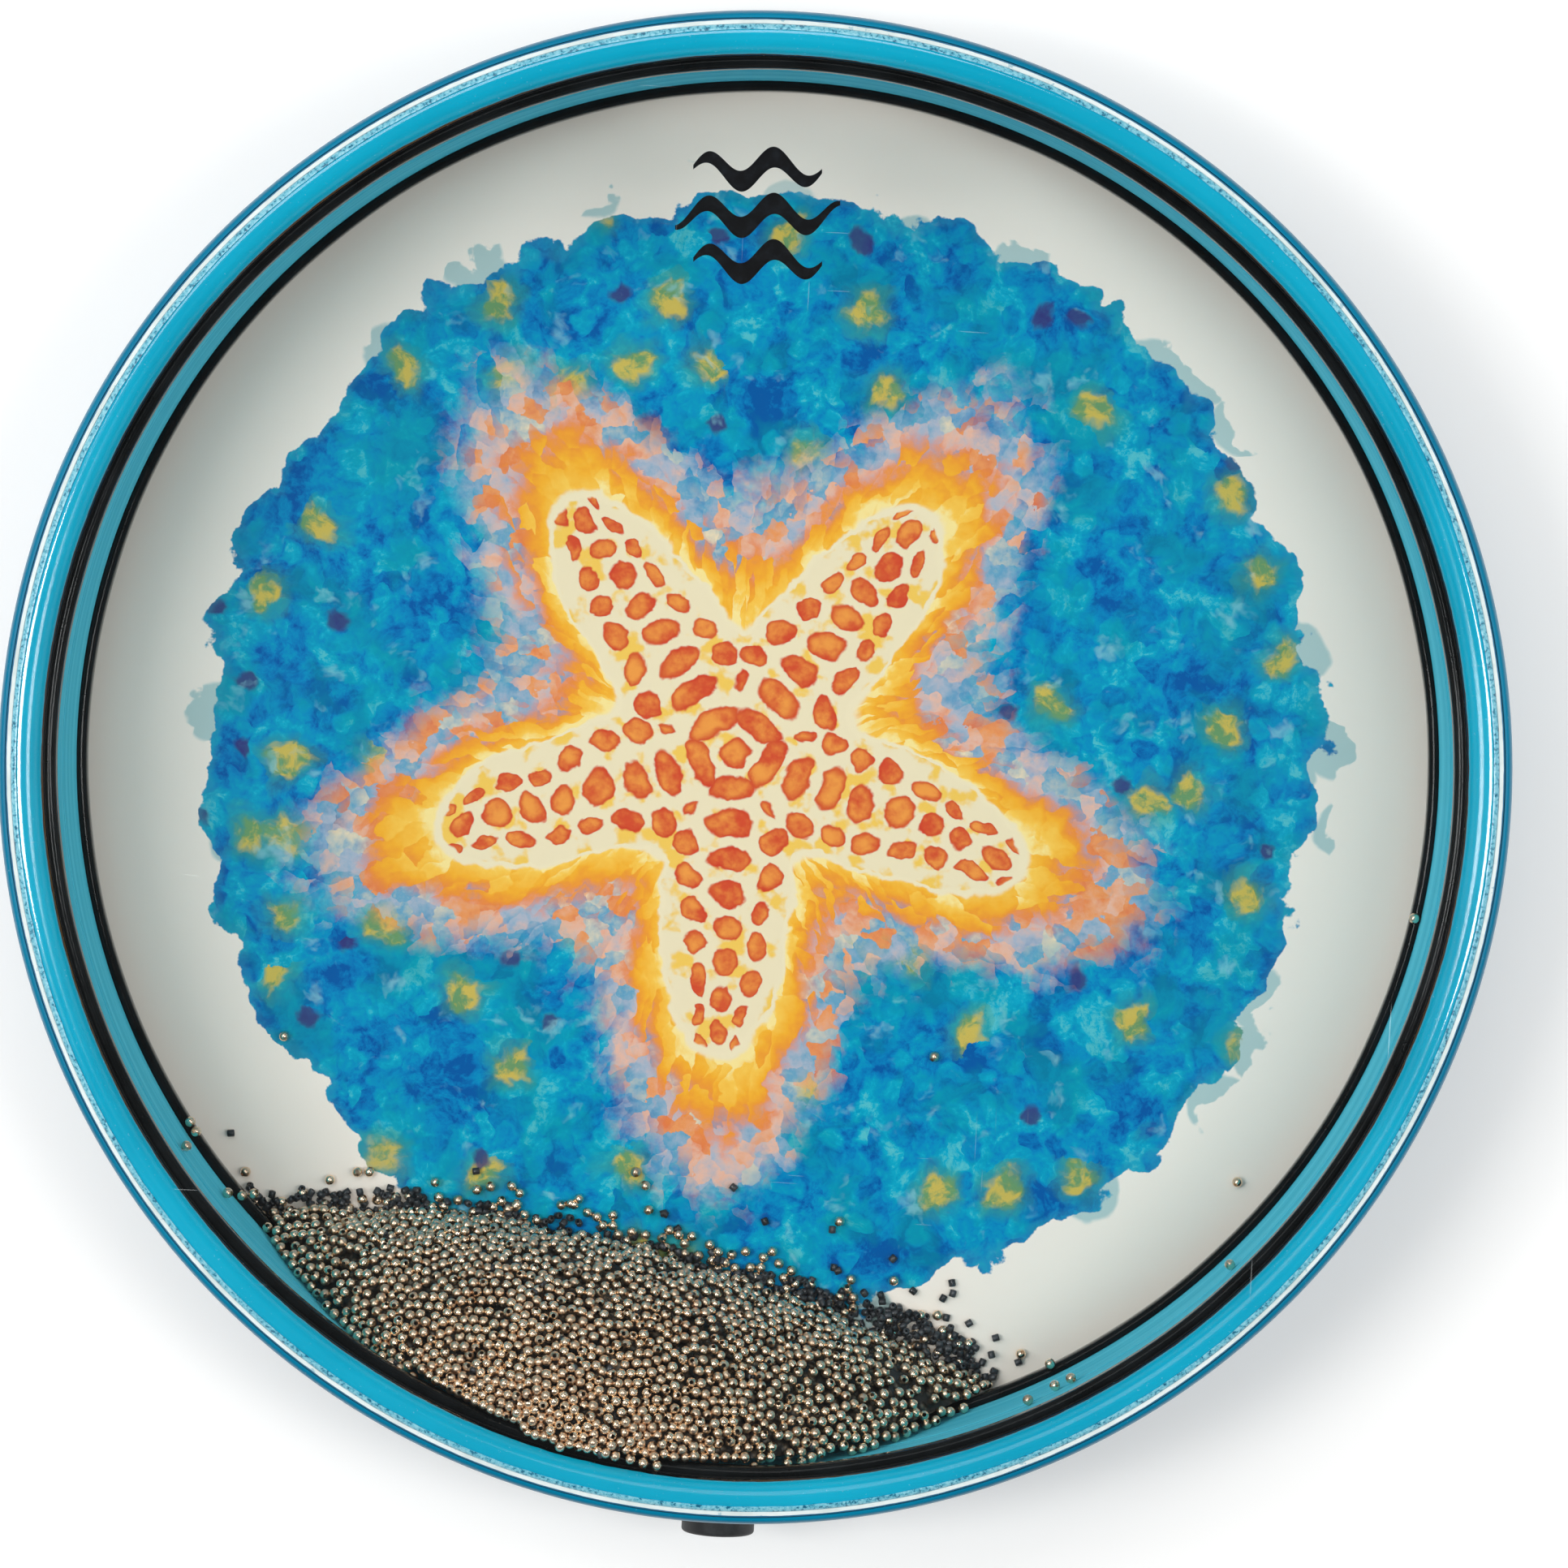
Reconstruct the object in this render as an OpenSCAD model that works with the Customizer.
// Ocean drum, 12 in across and 2.5 in deep: a shallow closed frame drum with loose beads inside.
// It lies on its back head. The origin is the centre of the back head's outer face.
// +Z points to the front head, and -Y to the fill plug in the rim.

/* [Drum] */
// Outside diameter over the sleeve
drum_d = 304.8; // [240:0.1:360]
// Depth over the outer faces of the two heads
drum_h = 63.5; // [56:0.1:90]

/* [Heads] */
// Thickness of the film of both heads
film_t = 0.25; // [0.2:0.05:0.4]
// How far the film is turned down outside the shell
collar_h = 10; // [6:0.5:13]

/* [Shells] */
// Radial wall of the two half shells
shell_wall = 6.3; // [5.6:0.1:8]
// Radius of the bearing edge's inner roundover
edge_round = 4.1; // [3:0.1:4.5]
// Width of the flat land on the bearing edge
edge_land = 0.4; // [0.3:0.1:1]
// Overlap of the lap joint where the half shells meet
lap_h = 4; // [2:0.5:6]
// Width of the seam line that shows on the inner wall
seam_gap = 0.5; // [0.3:0.1:1]
// Play in the lap joint, measured along the radius
lap_play = 0.1; // [0.05:0.05:0.3]

/* [Flesh hoops] */
// Radial wall of the white flesh hoops
hoop_wall = 0.85; // [0.6:0.05:1.2]
// Height of each flesh hoop
hoop_h = 13; // [8:0.5:16]
// How far the hoop's edge lies behind the film
hoop_drop = 0.8; // [0.5:0.1:1.5]

/* [Sleeve] */
// Radial wall of the outer sleeve
sleeve_wall = 2; // [1.4:0.1:3]
// Dark crevice between the sleeve and the hoops
sleeve_gap = 0.2; // [0.15:0.05:0.4]
// How far the sleeve's ends lie behind the heads
sleeve_drop = 1.5; // [1:0.1:3]
// Height of the sleeve's rounded shoulders
shoulder_h = 6.5; // [3:0.5:10]
// Width of the sleeve's square end inside its shoulder
sleeve_lip = 0.4; // [0.2:0.1:0.8]
// Room between a hoop and the sleeve's inner rib
rib_play = 0.3; // [0.2:0.1:1]

/* [Seals] */
// Radial wall of the black seal rings
seal_wall = 2; // [1.5:0.1:3]
// Height of each seal ring
seal_h = 5; // [3:0.5:6]
// How far a seal lies below its bearing edge
seal_drop = 0.4; // [0.2:0.1:1]

/* [Fill plug] */
// Diameter of the rubber plug's head
plug_d = 15; // [12:0.5:20]
// How far the plug's head stands proud of the sleeve
plug_proud = 5.8; // [4:0.1:8]
// Rounding of the plug's outer edge
plug_round = 1.4; // [0.5:0.1:2.5]
// Diameter of the plug's stem
stem_d = 9; // [7:0.5:10]
// Running clearance of the stem in the fill hole, measured along the radius
stem_play = 0.06; // [0.02:0.01:0.1]
// Gap under the plug's head
plug_seat = 0.2; // [0.1:0.1:0.4]
// How far the stem ends short of the inner wall
stem_short = 0.3; // [0.2:0.1:1]

/* [Beads] */
// Diameter of the silver beads
bead_d = 2.2; // [1.8:0.1:3]
// Hole through a silver bead
bead_hole_d = 0.9; // [0.6:0.1:1.2]
// Diameter of the black tube beads
tube_d = 1.5; // [1.2:0.1:1.8]
// Length of a black tube bead
tube_len = 1.4; // [1:0.1:2]
// Hole through a tube bead
tube_hole_d = 0.6; // [0.4:0.1:0.8]
// Room that all beads keep from the heads and seals
bead_play = 0.3; // [0.3:0.05:0.5]

/* [Heap] */
// Direction of the heap's middle, counted from +X
heap_dir = 258; // [0:1:360]
// How far the heap's middle reaches in from the wall
heap_reach = 35; // [28:1:45]
// How far its foot bulges towards the axis between its ends
heap_bulge = 9; // [2:1:14]
// Distance from bead to bead over its surface
heap_pitch = 3.8; // [3.2:0.1:6]

/* [Hidden] */
// Facets of round solids, and steps of a profile's arcs
round_fn = 96;
bead_fn = 20;
arc_steps = 12;
// Play between rings that are pressed or glued over each other
fit_play = 0.02;
// Overrun of cuts
cut_over = 1;
// Turns from bead to bead, so that their holes point every way
column_turn = 40;
bead_turn = 25;
// Length of an arc in radii, to degrees
degrees = 180 / PI;

// Radii, from the outside in
sleeve_r = drum_d / 2;
hoop_r = sleeve_r - sleeve_wall - sleeve_gap;
film_r = hoop_r - hoop_wall - fit_play;
shell_r = film_r - film_t - fit_play;
shell_in_r = shell_r - shell_wall;
seal_r = shell_in_r - fit_play;
seal_in_r = seal_r - seal_wall;
outer_round = shell_wall - edge_round - edge_land;
flat_r = shell_r - outer_round;
lap_r = shell_in_r + shell_wall / 2;

// Heights, measured up from the back
mid_z = drum_h / 2;
crest_z = drum_h - film_t - fit_play;
seal_top_z = crest_z - edge_round - seal_drop;
hoop_top_z = drum_h - hoop_drop;
rib_top_z = hoop_top_z - hoop_h - rib_play;

// Where beads may be
bead_wall_r = seal_in_r - bead_play;
bead_floor_z = film_t + bead_play;
bead_ceiling_z = drum_h - bead_floor_z;

// The heap's surface runs through the middles of its outermost beads: a quarter of an ellipse that
// climbs from the foot, where a place u along the heap has its foot at foot_x(u)
foot_middle = bead_wall_r - heap_reach;
heap_half = sqrt(pow(bead_wall_r, 2) - pow(foot_middle + heap_bulge, 2));
heap_foot_z = bead_floor_z + bead_d / 2;
heap_rise = bead_ceiling_z - bead_d - bead_floor_z;
// How much lower the heap would be at its ends than in the middle
heap_fall_share = 0.7;
// The heap's inside, which lies under the outermost beads
bank_step = bead_d / 2 + bead_play;
bank_columns = 28;
bank_steps = 8;
// How much of the heap's length the bank's end faces stand at
bank_end_share = 0.95;
// Where the floor that is free of the heap's middle and its black beads ends
free_middle = foot_middle - bead_d / 2 - 3 * tube_d;

// Loose beads on the back head: [turn from the heap's middle, share of the free floor that way]
silver_shares = [[-45, 0.82], [-42, 0.97], [-29.5, 0.98], [-27, 0.98], [-2, 0.9], [0, 0.942],
    [2, 0.98], [13, 0.98], [25, 0.865], [29.5, 0.923], [33, 0.953], [41, 0.94], [46, 0.51],
    [50, 0.97], [64, 0.95], [92, 0.97]];
tube_shares = [[-40, 0.94], [-33, 0.98], [-20, 0.98], [-9, 0.98], [8, 0.917], [11.5, 0.863],
    [19, 0.903], [31, 0.926], [34, 0.904], [35.5, 0.922], [38, 0.917], [43, 0.96]];

// Points of an arc about [r, z], from angle a to angle b
function arc(r, z, radius, a, b) = [for (i = [0:arc_steps])
    let (t = a + (b - a) * i / arc_steps) [r + radius * cos(t), z + radius * sin(t)]];

// Foot and height of the heap at place u, and how they slope along u
function foot_x(u) = foot_middle + heap_bulge * pow(u / heap_half, 2);
function rise_at(u) = heap_rise * (1 - heap_fall_share * pow(u / heap_half, 2));
function foot_slope(u) = 2 * heap_bulge * u / pow(heap_half, 2);
function rise_slope(u) = 2 * heap_rise * heap_fall_share * u / pow(heap_half, 2);

// Place u along the heap, turned up the ellipse from its foot, where inset leads inwards from the surface
function heap_place(u, turn, inset = 0) = [
    foot_x(u) + heap_reach - (heap_reach - inset * norm([1, foot_slope(u)])) * cos(turn), u,
    heap_foot_z + (rise_at(u) - inset * norm([1, rise_slope(u)])) * sin(turn)];

// Turns at which beads sit a pitch apart up the ellipse
function climb(u, turn) = turn > 90 ? [] : concat([turn],
    climb(u, turn + heap_pitch * degrees / norm([heap_reach * sin(turn), rise_at(u) * cos(turn)])));

function plan_radius(p) = norm([p[0], p[1]]);

// Turn at which the bank meets the wall at place u
function wall_turn(u) = let (room = foot_x(u) + heap_reach - sqrt(pow(bead_wall_r, 2) - pow(u, 2)))
    acos(room / (heap_reach - bank_step * norm([1, foot_slope(u)])));
function bank_u(i) = heap_half * bank_end_share * (2 * i / bank_columns - 1);

// How far the free floor reaches from the axis, for a turn counted from the heap's middle
function free_reach(turn) = let (
        bend = heap_bulge * pow(sin(turn) / heap_half, 2),
        rest = pow(cos(turn), 2) - 4 * bend * free_middle)
    cos(turn) < 0 || rest < 0 ? bead_wall_r :
        min(bead_wall_r, 2 * free_middle / (cos(turn) + sqrt(rest)));

// A ring of the front half, or its mirror image at the back
module at_front() { children(); }
module at_back() { translate([0, 0, drum_h]) mirror([0, 0, 1]) children(); }

// Plain ring between two radii and two heights
module ring(inner, outer, low, high) {
    rotate_extrude($fn = round_fn)
        translate([inner, low]) square([outer - inner, high - low]);
}

// Radial hole for the plug's stem, at mid depth towards -Y
module fill_hole() {
    translate([0, 0, mid_z]) rotate([90, 0, 0])
        translate([0, 0, seal_in_r])
            cylinder(d = stem_d + 2 * stem_play, h = sleeve_r - seal_in_r + cut_over, $fn = round_fn);
}

// Half shell of the front, where lip is the outline of its share of the lap joint
module half_shell(lip) {
    seam_z = mid_z + seam_gap / 2;
    edge = concat(
        [[shell_in_r, seam_z]],
        arc(shell_in_r + edge_round, crest_z - edge_round, edge_round, 180, 90),
        arc(flat_r, crest_z - outer_round, outer_round, 90, 0));
    rotate_extrude($fn = round_fn) polygon(concat(edge, lip, [[lip[len(lip) - 1][0], seam_z]]));
}

module front_shell() {
    lip = [[shell_r, mid_z - lap_h], [lap_r + lap_play / 2, mid_z - lap_h]];
    color("deepskyblue") difference() {
        half_shell(lip);
        fill_hole();
    }
}

module back_shell() {
    lip = [[shell_r, mid_z + lap_h], [lap_r - lap_play / 2, mid_z + lap_h]];
    color("deepskyblue") difference() {
        at_back() half_shell(lip);
        fill_hole();
    }
}

// Flat film of a head
module head() { ring(0, flat_r - fit_play, drum_h - film_t, drum_h); }
module front_head() { color("aliceblue", 0.25) at_front() head(); }
module back_head() { color("gainsboro") at_back() head(); }

// The film's edge: over the bearing edge, then turned down outside the shell
module head_rim() {
    round_z = crest_z - outer_round;
    turn_r = outer_round + fit_play;
    low_z = drum_h - collar_h;
    rotate_extrude($fn = round_fn) polygon(concat(
        arc(flat_r, round_z, turn_r, 90, 0),
        [[film_r - film_t, low_z], [film_r, low_z]],
        arc(flat_r, round_z, turn_r + film_t, 0, 90)));
}

module front_head_rim() { color("aliceblue", 0.25) at_front() head_rim(); }
module back_head_rim() { color("gainsboro") at_back() head_rim(); }

module flesh_hoop() { ring(hoop_r - hoop_wall, hoop_r, hoop_top_z - hoop_h, hoop_top_z); }
module front_flesh_hoop() { color("whitesmoke") at_front() flesh_hoop(); }
module back_flesh_hoop() { color("whitesmoke") at_back() flesh_hoop(); }

module seal() { ring(seal_in_r, seal_r, seal_top_z - seal_h, seal_top_z); }
module front_seal() { color("black") at_front() seal(); }
module back_seal() { color("black") at_back() seal(); }

// Upper half of the sleeve's outline: shoulder, end, bore and inner rib
function sleeve_side() = let (
        end_z = drum_h - sleeve_drop,
        bore_r = sleeve_r - sleeve_wall,
        shoulder_w = sleeve_wall - sleeve_lip)
    concat(
        [for (i = [0:arc_steps]) let (a = 90 * i / arc_steps)
            [sleeve_r - shoulder_w * (1 - cos(a)), end_z - shoulder_h * (1 - sin(a))]],
        [[bore_r, end_z], [bore_r, rib_top_z], [shell_r + fit_play, rib_top_z]]);

module outer_sleeve() {
    upper = sleeve_side();
    last = len(upper) - 1;
    lower = [for (i = [last:-1:0]) [upper[i][0], drum_h - upper[i][1]]];
    color("steelblue") difference() {
        rotate_extrude($fn = round_fn) polygon(concat(upper, lower));
        fill_hole();
    }
}

// Rubber stopper: round head outside the sleeve, straight stem through the wall
module fill_plug() {
    head_r = plug_d / 2;
    seat_r = sleeve_r + plug_seat;
    top_r = sleeve_r + plug_proud;
    stem_end_r = shell_in_r + stem_short;
    color("black") translate([0, 0, mid_z]) rotate([90, 0, 0])
        rotate_extrude($fn = round_fn) polygon(concat(
            [[0, stem_end_r], [stem_d / 2, stem_end_r], [stem_d / 2, seat_r], [head_r, seat_r]],
            arc(head_r - plug_round, top_r - plug_round, plug_round, 0, 90),
            [[0, top_r]]));
}

// Drilled round bead
module silver_bead(turn) {
    rotate([turn, turn * 2, 0]) difference() {
        sphere(d = bead_d, $fn = bead_fn);
        cylinder(d = bead_hole_d, h = bead_d + cut_over, center = true, $fn = bead_fn);
    }
}

// Short tube bead, lying on its side
module tube_bead(turn) {
    rotate([90, 0, turn]) difference() {
        cylinder(d = tube_d, h = tube_len, center = true, $fn = bead_fn);
        cylinder(d = tube_hole_d, h = tube_len + cut_over, center = true, $fn = bead_fn);
    }
}

// Closely packed inside of the heap: flat below, round at the wall, sloped above
module bead_bank() {
    across = bank_steps + 1;
    count = (bank_columns + 1) * across;
    top = [for (i = [0:bank_columns]) for (j = [0:bank_steps])
        let (u = bank_u(i)) heap_place(u, wall_turn(u) * j / bank_steps, bank_step)];
    under = [for (p = top) [p[0], p[1], bead_floor_z]];
    cells = [for (i = [0:bank_columns - 1]) for (j = [0:bank_steps - 1]) i * across + j];
    sides = concat(
        [for (i = [0:bank_columns - 1]) [i * across, (i + 1) * across]],
        [for (j = [0:bank_steps - 1]) [bank_columns * across + j, bank_columns * across + j + 1]],
        [for (i = [bank_columns:-1:1]) [i * across + bank_steps, (i - 1) * across + bank_steps]],
        [for (j = [bank_steps:-1:1]) [j, j - 1]]);
    color("darkgray") rotate([0, 0, heap_dir])
        polyhedron(points = concat(top, under), convexity = 4, faces = concat(
            [for (c = cells) [c, c + across, c + 1]],
            [for (c = cells) [c + 1, c + across, c + across + 1]],
            [for (c = cells) [count + c, count + c + 1, count + c + across]],
            [for (c = cells) [count + c + 1, count + c + across + 1, count + c + across]],
            [for (s = sides) [s[0], count + s[0], s[1]]],
            [for (s = sides) [s[1], count + s[0], count + s[1]]]));
}

// Outermost silver beads of the heap, between two turns up its ellipse
module heap_beads(low, high) {
    bead_limit_r = bead_wall_r - bead_d / 2;
    last = floor(heap_half / heap_pitch);
    color("silver") rotate([0, 0, heap_dir])
        for (k = [-last:last]) {
            u = k * heap_pitch;
            for (turn = climb(u, 0)) {
                place = heap_place(u, turn);
                if (turn >= low && turn < high && plan_radius(place) < bead_limit_r)
                    translate(place) silver_bead(k * column_turn + turn * bead_turn);
            }
        }
}

module heap_beads_low() { heap_beads(0, 30); }
module heap_beads_mid() { heap_beads(30, 60); }
module heap_beads_high() { heap_beads(60, 91); }

// Black beads that have sunk to the back head and peep out along the heap's foot
module heap_tube_beads() {
    tube_step = tube_len + tube_d;
    count = floor(heap_half * bank_end_share / tube_step);
    color("dimgray") rotate([0, 0, heap_dir])
        for (k = [-count:count]) {
            u = k * tube_step;
            back = bead_d / 2 + tube_d * (k % 2 == 0 ? 1 : 2);
            translate([foot_x(u) - back, u, bead_floor_z + tube_d / 2]) tube_bead(k * bead_turn);
        }
}

// Place on the back head for a loose bead of height h
module on_back_head(share, h) {
    rotate([0, 0, heap_dir + share[0]])
        translate([share[1] * free_reach(share[0]) - h / 2, 0, bead_floor_z + h / 2])
            children();
}

module loose_silver_beads() {
    color("silver") for (i = [0:len(silver_shares) - 1])
        on_back_head(silver_shares[i], bead_d) silver_bead(i * bead_turn);
}

module loose_tube_beads() {
    color("dimgray") for (i = [0:len(tube_shares) - 1])
        on_back_head(tube_shares[i], tube_d) tube_bead(i * bead_turn);
}

outer_sleeve();
front_shell();
back_shell();
front_flesh_hoop();
back_flesh_hoop();
front_head();
front_head_rim();
back_head();
back_head_rim();
front_seal();
back_seal();
fill_plug();
bead_bank();
heap_beads_low();
heap_beads_mid();
heap_beads_high();
heap_tube_beads();
loose_silver_beads();
loose_tube_beads();
